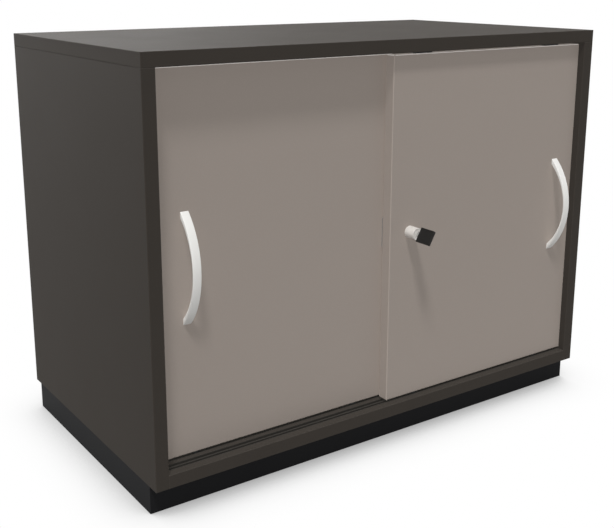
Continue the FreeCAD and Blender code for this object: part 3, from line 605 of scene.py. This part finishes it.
class Piece:
    """A mesh in the making, and the steps that the modelled pieces share."""

    corner_segments = 4
    crease = math.radians(32.0)  # from this angle on, an edge is shaded sharp

    def __init__(self, name: str) -> None:
        """Start an empty mesh for the piece of this name."""
        self.name = name
        self.bm = bmesh.new()

    def arc(self, start: Point, middle_y: float, middle_z: float, angle: float, steps: int) -> Edges:
        """Draw an arc by turning one vertex about an axis along X.

        Args:
            start: Where the arc starts.
            middle_y: The axis's place along Y.
            middle_z: The axis's place along Z.
            angle: How far it turns, in radians.
            steps: The number of edges in it.

        Returns:
            The arc's edges.
        """
        before = set(self.bm.edges)
        vertex = self.bm.verts.new(start)
        bmesh.ops.spin(
            self.bm,
            geom=[vertex],
            cent=(start[0], middle_y, middle_z),
            axis=(1.0, 0.0, 0.0),
            angle=angle,
            steps=steps,
        )
        return [edge for edge in self.bm.edges if edge not in before]

    def turn(self, outline: list[tuple[float, float, float]], middle: Point, steps: int) -> None:
        """Turn a closed outline about an axis along Y, as the only shape in this piece.

        Args:
            outline: The corners as (radius, y, rounding), with y measured from the middle.
            middle: A point of the axis.
            steps: The number of faces round the piece.
        """
        corners = [self.bm.verts.new((middle[0] + r, middle[1] + y, middle[2])) for r, y, _ in outline]
        self.bm.faces.new(corners)
        roundings = [rounding for _, _, rounding in outline]
        for rounding in sorted(set(roundings) - {0.0}):
            bmesh.ops.bevel(
                self.bm,
                geom=[corner for corner, own in zip(corners, roundings) if own == rounding],
                offset=rounding,
                offset_type="OFFSET",
                segments=self.corner_segments,
                profile=0.5,
                affect="VERTICES",
                material=-1,
            )
        bmesh.ops.delete(self.bm, geom=list(self.bm.faces), context="FACES_ONLY")
        bmesh.ops.spin(
            self.bm,
            geom=list(self.bm.verts) + list(self.bm.edges),
            cent=middle,
            axis=(0.0, 1.0, 0.0),
            angle=math.tau,
            steps=steps,
            use_merge=True,
        )

    def round_edges(self, edges: Edges, radius: float, segments: int = 3) -> None:
        """Round edges off.

        Args:
            edges: The edges.
            radius: How far the rounding reaches from each edge.
            segments: The number of faces across it.
        """
        bmesh.ops.bevel(
            self.bm,
            geom=edges,
            offset=radius,
            offset_type="OFFSET",
            segments=segments,
            profile=0.5,
            affect="EDGES",
            clamp_overlap=True,
            material=-1,
        )

    def finished(
        self,
        body: str,
        finish: Finish,
        finishes: Finishes,
        replaced: tuple[str, ...],
        flat_from: float = math.inf,
    ) -> bpy.types.Object:
        """Close the mesh and make it a dressed object that rides on its body.

        Args:
            body: The body that it moves with.
            finish: Its finish.
            finishes: The built materials.
            replaced: The solids that it stands for.
            flat_from: The area from which a face is shaded flat.

        Returns:
            The object.
        """
        bmesh.ops.remove_doubles(self.bm, verts=self.bm.verts, dist=MERGE_DISTANCE)
        bmesh.ops.recalc_face_normals(self.bm, faces=self.bm.faces)
        for face in self.bm.faces:
            face.smooth = face.calc_area() < flat_from
        for edge in self.bm.edges:
            edge.smooth = len(edge.link_faces) == 2 and edge.calc_face_angle() < self.crease
        mesh = bpy.data.meshes.new(self.name)
        self.bm.to_mesh(mesh)
        self.bm.free()
        piece = bpy.data.objects.new(self.name, mesh)
        bpy.context.scene.collection.objects.link(piece)
        mesh.materials.append(finishes.built[finish])
        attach(piece, body)
        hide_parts(*replaced)
        LOG.info("made %s, %d faces, on %s", self.name, len(mesh.polygons), body)
        return piece


# ---------------------------------------------------------------- carcass and plinth


class SubAssembly:
    """A group of the cabinet's pieces, which dresses its solids and makes its finer pieces."""

    def solids(self) -> dict[Finish, tuple[str, ...]]:
        """Give the solids that stay as they are, by finish."""
        return {}

    def build(self, finishes: Finishes) -> None:
        """Make the pieces that have a finer shape than their solids."""

    def dress(self, nodes: Nodes, finishes: Finishes) -> None:
        """Give the solids their finishes.

        Args:
            nodes: The frame's objects by name.
            finishes: The built materials.
        """
        for finish, names in self.solids().items():
            finishes.dress(nodes, names, finish)


@dataclass(frozen=True)
class Carcass(SubAssembly):
    """The four boards, the back, the shelf and what holds them together."""

    cap_spacing: float = 0.29
    cap_thickness: float = 0.0012
    cap_rim: float = 0.0004
    cap_sides: int = 48

    def solids(self) -> dict[Finish, tuple[str, ...]]:
        """Give the solids that stay as they are, by finish."""
        sides = ("left_side_panel", "right_side_panel")
        edgings = ("top_board_edging", "bottom_board_edging", "left_side_edging", "right_side_edging")
        return {
            Finish.CARCASS_LAMINATE: ("top_board", "bottom_board", *sides, "back_panel", "shelf"),
            Finish.CARCASS_EDGING: (*edgings, "shelf_edging"),
            Finish.STEEL: ("shelf_pins", "cam_housings", "cam_bolts"),
            Finish.BEECH: ("carcass_dowels",),
        }

    def build(self, finishes: Finishes) -> None:
        """Make the domed caps over the cams.

        Args:
            finishes: The built materials.
        """
        piece = Piece("cam_caps")
        box = Box.of("cam_cover_caps")
        for half in (-0.5, 0.5):
            self.cap(piece, box, box.middle.y + half * self.cap_spacing)
        right_pair = list(piece.bm.verts) + list(piece.bm.edges) + list(piece.bm.faces)
        bmesh.ops.mirror(piece.bm, geom=right_pair, axis="X", merge_dist=-1.0)
        piece.finished("cabinet", Finish.CARCASS_EDGING, finishes, ("cam_cover_caps",))

    def cap(self, piece: Piece, box: Box, y: float) -> None:
        """Add one cap on the right side panel's inner face.

        Args:
            piece: The mesh that it is added to.
            box: The box round all the caps.
            y: Its place along Y.
        """
        turned = Matrix.Rotation(math.pi / 2, 4, "Y")
        front_x = box.high.x - self.cap_thickness
        place = Matrix.Translation((front_x + self.cap_thickness / 2, y, box.middle.z)) @ turned
        made = bmesh.ops.create_cone(
            piece.bm,
            cap_ends=True,
            segments=self.cap_sides,
            radius1=box.size.z / 2,
            radius2=box.size.z / 2,
            depth=self.cap_thickness,
            matrix=place,
        )
        disc = next(
            face
            for face in {f for vertex in made["verts"] for f in vertex.link_faces}
            if abs(face.calc_center_median().x - front_x) < MERGE_DISTANCE
        )
        piece.round_edges(list(disc.edges), self.cap_rim, Piece.corner_segments)


class Plinth(SubAssembly):
    """The recessed frame that the carcass stands on."""

    def solids(self) -> dict[Finish, tuple[str, ...]]:
        """Give the solids that stay as they are, by finish."""
        ends = ("plinth_left", "plinth_right", "plinth_middle_rail")
        return {
            Finish.PLINTH_LAMINATE: ("plinth_front", "plinth_back", *ends),
            Finish.STEEL: ("plinth_brackets", "plinth_screws"),
            Finish.BEECH: ("plinth_dowels",),
        }


class Tracks(SubAssembly):
    """The channels that the doors run in, with the stops that end their travel."""

    def solids(self) -> dict[Finish, tuple[str, ...]]:
        """Give the solids that stay as they are, by finish."""
        lower, upper = ("lower_front_track", "lower_rear_track"), ("upper_front_track", "upper_rear_track")
        return {Finish.TRACK_PLASTIC: lower + upper, Finish.GUIDE_PLASTIC: ("upper_track_stops",)}


# ---------------------------------------------------------------- doors


class Hand(enum.Enum):
    """The left or the right one of a pair, as someone in front of the cabinet sees it."""

    LEFT = "left"
    RIGHT = "right"


def arc_radius(half_chord: float, rise: float) -> float:
    """Give the radius of an arc from half its chord and how far it rises over the chord."""
    return (half_chord**2 + rise**2) / (2 * rise)


@dataclass(frozen=True)
class BowHandle:
    """A flat bar bent to a bow, thin in the middle and thicker towards its two feet on the door.

    The bow fills its solid's box, which has the door's face at its back.
    """

    box: Box
    bar: float = 0.0022
    foot: float = 0.009
    crown: float = 0.00025
    edge: float = 0.0006
    sharp: float = math.radians(50.0)
    on_arc: float = 1e-5
    steps: int = 56
    strips: int = 4

    @property
    def half_length(self) -> float:
        """Half the bow's length, which is the outer arc's half chord."""
        return self.box.size.z / 2

    def build(self, hand: Hand, finishes: Finishes) -> None:
        """Make the handle.

        Args:
            hand: The door that it is on.
            finishes: The built materials.
        """
        piece = Piece(f"{hand.value}_bow_handle")
        outer = self.side(piece, self.half_length, self.box.size.y)
        inner = self.side(piece, self.half_length - self.foot, self.box.size.y - self.bar)
        bmesh.ops.bridge_loops(piece.bm, edges=outer + inner)
        region = list(piece.bm.faces) + list(piece.bm.edges)  # with the edges, no wall stays inside
        for _ in range(self.strips):
            made = bmesh.ops.extrude_face_region(piece.bm, geom=region)["geom"]
            moved = [item for item in made if isinstance(item, bmesh.types.BMVert)]
            bmesh.ops.translate(piece.bm, vec=(self.box.size.x / self.strips, 0.0, 0.0), verts=moved)
            region = [item for item in made if not isinstance(item, bmesh.types.BMVert)]
        self.swell(piece)
        piece.round_edges(self.long_corners(piece), self.edge)
        piece.finished(f"{hand.value}_door", Finish.HANDLE_METAL, finishes, (f"{hand.value}_handle",))

    def side(self, piece: Piece, half_chord: float, rise: float) -> Edges:
        """Draw the bow's outer or inner arc, from its lower foot to its upper one.

        Args:
            piece: The mesh that it is drawn in.
            half_chord: Half the distance between the arc's ends.
            rise: How far the arc stands off the door.

        Returns:
            The arc's edges.
        """
        radius = arc_radius(half_chord, rise)
        face, z = self.box.high.y, self.box.middle.z
        start = (self.box.low.x, face, z - half_chord)
        angle = -2 * math.asin(half_chord / radius)
        return piece.arc(start, face - rise + radius, z, angle, self.steps)

    def on_outer_arc(self, vertex: bmesh.types.BMVert) -> bool:
        """Tell whether a vertex lies on the bow's outer arc."""
        radius = arc_radius(self.half_length, self.box.size.y)
        across = vertex.co.y - (self.box.low.y + radius)
        return abs(math.hypot(across, vertex.co.z - self.box.middle.z) - radius) < self.on_arc

    def swell(self, piece: Piece) -> None:
        """Crown the outer face a little across its width.

        Args:
            piece: The mesh.
        """
        half_width, half_projection = self.box.size.x / 2, self.box.size.y / 2
        for vertex in [v for v in piece.bm.verts if self.on_outer_arc(v)]:
            across = (vertex.co.x - self.box.middle.x) / half_width
            share = min(1.0, (self.box.high.y - vertex.co.y) / half_projection)
            vertex.co.y -= self.crown * (1 - across**2) * share

    def long_corners(self, piece: Piece) -> Edges:
        """Find the edges that run along the bow at its four corners.

        Args:
            piece: The mesh.

        Returns:
            The edges.
        """
        corners = []
        for edge in piece.bm.edges:
            on_door = all(abs(v.co.y - self.box.high.y) < MERGE_DISTANCE for v in edge.verts)
            along = abs(edge.verts[0].co.x - edge.verts[1].co.x) < MERGE_DISTANCE
            sharp = len(edge.link_faces) == 2 and edge.calc_face_angle() > self.sharp
            if along and sharp and not on_door:
                corners.append(edge)
        return corners


@dataclass(frozen=True)
class Roller:
    """A grooved wheel that straddles a track's rib."""

    box: Box
    radius: float = 0.009
    groove_radius: float = 0.0073
    groove: float = 0.0036
    bore: float = 0.00155
    hub: float = 0.0032
    recess_radius: float = 0.0062
    recess: float = 0.0008
    rounding: float = 0.00025
    rim_rounding: float = 0.0006
    steps: int = 72

    def build(self, name: str, finishes: Finishes) -> None:
        """Make the roller.

        Args:
            name: The name that its solid and its body share.
            finishes: The built materials.
        """
        piece = Piece(f"{name}_wheel")
        half, groove = self.box.size.y / 2, self.groove / 2
        floor_y = half - self.recess
        right = [
            (self.bore, half, 0.0),
            (self.hub, half, self.rounding),
            (self.hub, floor_y, self.rounding),
            (self.recess_radius, floor_y, self.rounding),
            (self.recess_radius + self.recess / 2, half, self.rounding),
            (self.radius, half, self.rim_rounding),
            (self.radius, groove, self.rounding),
            (self.groove_radius, groove, self.rounding),
        ]
        left = [(r, -y, rounding) for r, y, rounding in reversed(right)]
        middle = (self.box.middle.x, self.box.middle.y, self.box.high.z - self.radius)
        piece.turn(right + left, middle, self.steps)
        piece.finished(name, Finish.ROLLER_PLASTIC, finishes, (name,))


@dataclass(frozen=True)
class SlidingDoor(SubAssembly):
    """One door with its handle, rollers, guides and their fittings."""

    hand: Hand

    def solids(self) -> dict[Finish, tuple[str, ...]]:
        """Give the solids that stay as they are, by finish."""
        side = self.hand.value
        return {
            Finish.DOOR_LAMINATE: (f"{side}_door_panel",),
            Finish.DOOR_EDGING: (f"{side}_door_edging",),
            Finish.GUIDE_PLASTIC: (f"{side}_door_roller_housings", f"{side}_door_top_guides"),
            Finish.STEEL: (f"{side}_door_roller_axles", f"{side}_handle_screws"),
        }

    def build(self, finishes: Finishes) -> None:
        """Make the handle and the two rollers.

        Args:
            finishes: The built materials.
        """
        BowHandle(Box.of(f"{self.hand.value}_handle")).build(self.hand, finishes)
        for end in Hand:
            name = f"{self.hand.value}_door_{end.value}_roller"
            Roller(Box.of(name)).build(name, finishes)


# ---------------------------------------------------------------- lock and key


@dataclass(frozen=True)
class PushLock(SubAssembly):
    """The lock in the right door: a barrel that is pushed in against a spring, and its striker plate."""

    radius: float = 0.009
    collar_radius: float = 0.0102
    collar: float = 0.002
    mouth_radius: float = 0.00475
    bore_radius: float = 0.00555
    front_wall: float = 0.0015
    lip: float = 0.0006
    border: float = 0.0012
    dish: float = 0.0003
    rounding: float = 0.0006
    steps: int = 96
    spring_radius: float = 0.0065
    spring_wire: float = 0.00035
    spring_sides: int = 12
    spring_turns: int = 4
    turn_steps: int = 40
    travel: float = 0.008

    def solids(self) -> dict[Finish, tuple[str, ...]]:
        """Give the solids that stay as they are, by finish."""
        screws = ("lock_housing_screws", "striker_screws")
        return {
            Finish.STEEL: ("lock_housing", "lock_striker_plate", "lock_bolt", *screws),
            Finish.LOCK_METAL: ("lock_core",),
        }

    def build(self, finishes: Finishes) -> None:
        """Make the barrel and the spring.

        Args:
            finishes: The built materials.
        """
        self.barrel(finishes)
        self.spring(finishes)

    def barrel(self, finishes: Finishes) -> None:
        """Make the barrel, with a shallow dish in its front face and a collar behind the door's lip.

        Args:
            finishes: The built materials.
        """
        piece = Piece("lock_push_barrel")
        box = Box.of("lock_barrel")
        front, rear = box.low.y, box.high.y
        shelf, collar_front = front + self.front_wall, rear - self.collar
        dish_inner, dish_outer = self.mouth_radius + self.lip, self.radius - self.border
        floor_y = front + self.dish
        outline = [
            (self.mouth_radius, front, self.dish / 2),
            (dish_inner, front, self.dish / 3),
            (dish_inner + self.dish, floor_y, self.dish / 3),
            (dish_outer - self.dish, floor_y, self.dish / 3),
            (dish_outer, front, self.dish / 3),
            (self.radius, front, self.rounding),
            (self.radius, collar_front, 0.0),
            (self.collar_radius, collar_front, self.dish),
            (self.collar_radius, rear, self.dish),
            (self.bore_radius, rear, 0.0),
            (self.bore_radius, shelf, 0.0),
            (self.mouth_radius, shelf, 0.0),
        ]
        piece.turn(outline, lock_axis(), self.steps)
        piece.finished("lock_plunger", Finish.LOCK_METAL, finishes, ("lock_barrel",))

    def spring(self, finishes: Finishes) -> None:
        """Make the spring, which rides on the barrel's body.

        Args:
            finishes: The built materials.
        """
        piece = Piece("lock_coil_spring")
        box = Box.of("lock_spring")
        low, high = box.low.y + self.spring_wire, box.high.y - self.spring_wire
        x, _, z = lock_axis()
        bmesh.ops.create_circle(
            piece.bm,
            cap_ends=True,
            segments=self.spring_sides,
            radius=self.spring_wire,
            matrix=Matrix.Translation((x + self.spring_radius, low, z)),
        )
        steps = self.spring_turns * self.turn_steps
        bmesh.ops.spin(
            piece.bm,
            geom=list(piece.bm.verts) + list(piece.bm.edges) + list(piece.bm.faces),
            cent=(x, low, z),
            axis=(0.0, 1.0, 0.0),
            dvec=(0.0, (high - low) / steps, 0.0),
            angle=math.tau * self.spring_turns,
            steps=steps,
        )
        coil = piece.finished("lock_plunger", Finish.STEEL, finishes, ("lock_spring",))
        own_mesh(coil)


@dataclass(frozen=True)
class Key(SubAssembly):
    """The flat key, with a black moulded bow."""

    width: float = 0.0224
    thickness: float = 0.0036
    lean: float = math.radians(29.0)
    corner: float = 0.0011
    edge: float = 0.0006
    border: float = 0.0022
    recess: float = 0.0002
    sharp: float = math.radians(80.0)

    def solids(self) -> dict[Finish, tuple[str, ...]]:
        """Give the solid that stays as it is, by finish."""
        return {Finish.STEEL: ("key_blade",)}

    def build(self, finishes: Finishes) -> None:
        """Make the bow: a plate with rounded edges and a shallow panel on each face.

        Args:
            finishes: The built materials.
        """
        piece = Piece("key_grip")
        bm = piece.bm
        box = Box.of("key_bow")
        bmesh.ops.create_cube(bm, size=1.0)
        bmesh.ops.scale(bm, vec=(self.thickness, box.size.y, self.width), verts=bm.verts)
        bm.normal_update()
        panels = [face for face in bm.faces if abs(face.normal.x) > abs(face.normal.y) + abs(face.normal.z)]
        corners = [edge for edge in bm.edges if abs(edge.verts[0].co.x - edge.verts[1].co.x) > MERGE_DISTANCE]
        bmesh.ops.inset_individual(bm, faces=panels, thickness=self.border)
        bmesh.ops.inset_individual(bm, faces=panels, thickness=self.recess, depth=-self.recess)
        piece.round_edges(corners, self.corner, Piece.corner_segments)
        bm.normal_update()
        outline = [edge for edge in bm.edges if edge.calc_face_angle() > self.sharp]
        piece.round_edges(outline, self.edge)
        bmesh.ops.rotate(bm, cent=(0.0, 0.0, 0.0), matrix=Matrix.Rotation(self.lean, 3, "Y"), verts=bm.verts)
        bmesh.ops.translate(bm, vec=box.middle, verts=bm.verts)
        piece.finished("key", Finish.KEY_PLASTIC, finishes, ("key_bow",), flat_from=self.recess * self.width)


# ---------------------------------------------------------------- studio


@dataclass(frozen=True)
class Lamp:
    """A soft lamp far away, given by the way to it, its strength and how many degrees wide it looks.

    Only the key lamp throws shadows; the fills stand for the light that the room's walls give back.
    """

    name: str
    toward: Point
    strength: float
    width: float
    shadows: bool = False

    def hang(self) -> None:
        """Add the lamp to the scene."""
        data = bpy.data.lights.new(self.name, "SUN")
        data.energy, data.angle = self.strength, math.radians(self.width)
        data.use_shadow = self.shadows
        lamp = bpy.data.objects.new(self.name, data)
        lamp.rotation_mode = "QUATERNION"
        lamp.rotation_quaternion = Vector(self.toward).to_track_quat("Z", "Y")
        bpy.context.scene.collection.objects.link(lamp)


@dataclass(frozen=True)
class Studio:
    """A white room with soft light, a pale floor and the camera."""

    ambient: Colour = (0.1, 0.1, 0.1, 1.0)
    lamps: tuple[Lamp, ...] = (
        Lamp("key_lamp", (-0.271, -0.33, 0.904), 1.75, 9.0, shadows=True),
        Lamp("front_fill", (-0.5, -0.77, 0.4), 1.88, 30.0),
        Lamp("left_fill", (-0.45, 0.88, 0.1), 1.4, 30.0),
        Lamp("right_fill", (0.97, 0.1, 0.1), 1.6, 30.0),
        Lamp("back_fill", (0.14, 0.95, 0.22), 1.25, 45.0),
        Lamp("top_fill", (0.0, -0.05, 1.0), 1.0, 30.0),
    )
    floor_half: float = 30.0
    floor_albedo: float = 0.3
    shadow_reach: float = 0.1
    shadow_samples: int = 16
    shadow_curve: tuple[tuple[float, float], ...] = ((0.3, 0.42), (0.5, 0.62), (0.65, 0.83), (0.8, 0.95))
    camera_place: Point = (-0.88826, -1.24907, 0.69213)
    azimuth: float = math.radians(-34.474)
    elevation: float = math.radians(13.682)
    lens: float = 56.572
    shift: tuple[float, float] = (0.01829, -0.0894)

    def build(self) -> None:
        """Set up the world, lamps, floor and camera."""
        self.world()
        for lamp in self.lamps:
            lamp.hang()
        self.floor()
        self.camera()
        bpy.context.scene.view_settings.view_transform = "Standard"

    def seen_directly(self, tree: bpy.types.NodeTree) -> bpy.types.NodeSocket:
        """Tell camera, mirror and glass rays from the rays that only bring light.

        Args:
            tree: The node tree to add it to.

        Returns:
            1 for a ray that shows the background, and 0 for one that lights the object.
        """
        path = tree.nodes.new("ShaderNodeLightPath")
        total = path.outputs["Is Camera Ray"]
        for name in ("Is Glossy Ray", "Is Transmission Ray"):
            node = tree.nodes.new("ShaderNodeMath")
            node.operation = "MAXIMUM"
            tree.links.new(total, node.inputs[0])
            tree.links.new(path.outputs[name], node.inputs[1])
            total = node.outputs[0]
        return total

    def world(self) -> None:
        """Make the world white to look at and evenly soft as a light."""
        world = bpy.data.worlds.new("studio")
        bpy.context.scene.world = world
        world.use_nodes = True
        tree = world.node_tree
        tree.nodes.clear()
        light = tree.nodes.new("ShaderNodeBackground")
        light.inputs["Color"].default_value = self.ambient
        white = tree.nodes.new("ShaderNodeBackground")
        white.inputs["Color"].default_value = (1.0, 1.0, 1.0, 1.0)
        mix = tree.nodes.new("ShaderNodeMixShader")
        output = tree.nodes.new("ShaderNodeOutputWorld")
        tree.links.new(self.seen_directly(tree), mix.inputs[0])
        tree.links.new(light.outputs[0], mix.inputs[1])
        tree.links.new(white.outputs[0], mix.inputs[2])
        tree.links.new(mix.outputs[0], output.inputs["Surface"])

    def floor(self) -> None:
        """Lay the pale floor, white to look at apart from the soft shadow round the plinth."""
        bm = bmesh.new()
        bmesh.ops.create_grid(bm, x_segments=1, y_segments=1, size=self.floor_half)
        mesh = bpy.data.meshes.new("studio_floor")
        bm.to_mesh(mesh)
        bm.free()
        floor = bpy.data.objects.new("studio_floor", mesh)
        bpy.context.scene.collection.objects.link(floor)
        material = bpy.data.materials.new("studio_floor")
        mesh.materials.append(material)
        material.use_nodes = True
        tree = material.node_tree
        tree.nodes.clear()
        matt = tree.nodes.new("ShaderNodeBsdfDiffuse")
        matt.inputs["Color"].default_value = (self.floor_albedo,) * 3 + (1.0,)
        near = tree.nodes.new("ShaderNodeAmbientOcclusion")
        near.inputs["Distance"].default_value = self.shadow_reach
        near.samples = self.shadow_samples
        shade = tree.nodes.new("ShaderNodeFloatCurve")
        curve = shade.mapping.curves[0]
        for openness, brightness in self.shadow_curve:
            curve.points.new(openness, brightness)
        shade.mapping.update()
        glow = tree.nodes.new("ShaderNodeEmission")
        mix = tree.nodes.new("ShaderNodeMixShader")
        output = tree.nodes.new("ShaderNodeOutputMaterial")
        tree.links.new(near.outputs["AO"], shade.inputs["Value"])
        tree.links.new(shade.outputs["Value"], glow.inputs["Strength"])
        tree.links.new(self.seen_directly(tree), mix.inputs[0])
        tree.links.new(matt.outputs[0], mix.inputs[1])
        tree.links.new(glow.outputs[0], mix.inputs[2])
        tree.links.new(mix.outputs[0], output.inputs["Surface"])

    def camera(self) -> None:
        """Set up the camera, level and looking down a little from the front left."""
        data = bpy.data.cameras.new("camera")
        data.lens = self.lens
        data.shift_x, data.shift_y = self.shift
        camera = bpy.data.objects.new("camera", data)
        flat = math.cos(self.elevation)
        back = Vector(
            (math.sin(self.azimuth) * flat, -math.cos(self.azimuth) * flat, math.sin(self.elevation))
        )
        camera.location = self.camera_place
        camera.rotation_mode = "QUATERNION"
        camera.rotation_quaternion = (-back).to_track_quat("-Z", "Y")
        bpy.context.scene.collection.objects.link(camera)
        bpy.context.scene.camera = camera


# ---------------------------------------------------------------- whole cabinet


def main() -> None:
    """Load the frame, build and dress each sub-assembly, and set up the studio."""
    logging.basicConfig(level=logging.INFO, format="%(name)s: %(message)s")
    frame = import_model()
    nodes = frame["nodes"]
    finishes = Finishes()
    doors = (SlidingDoor(hand) for hand in Hand)
    parts = (Carcass(), Plinth(), Tracks(), *doors, PushLock(), Key())
    for part in parts:
        part.dress(nodes, finishes)
        part.build(finishes)
    Studio().build()


if __name__ == "__main__":
    main()
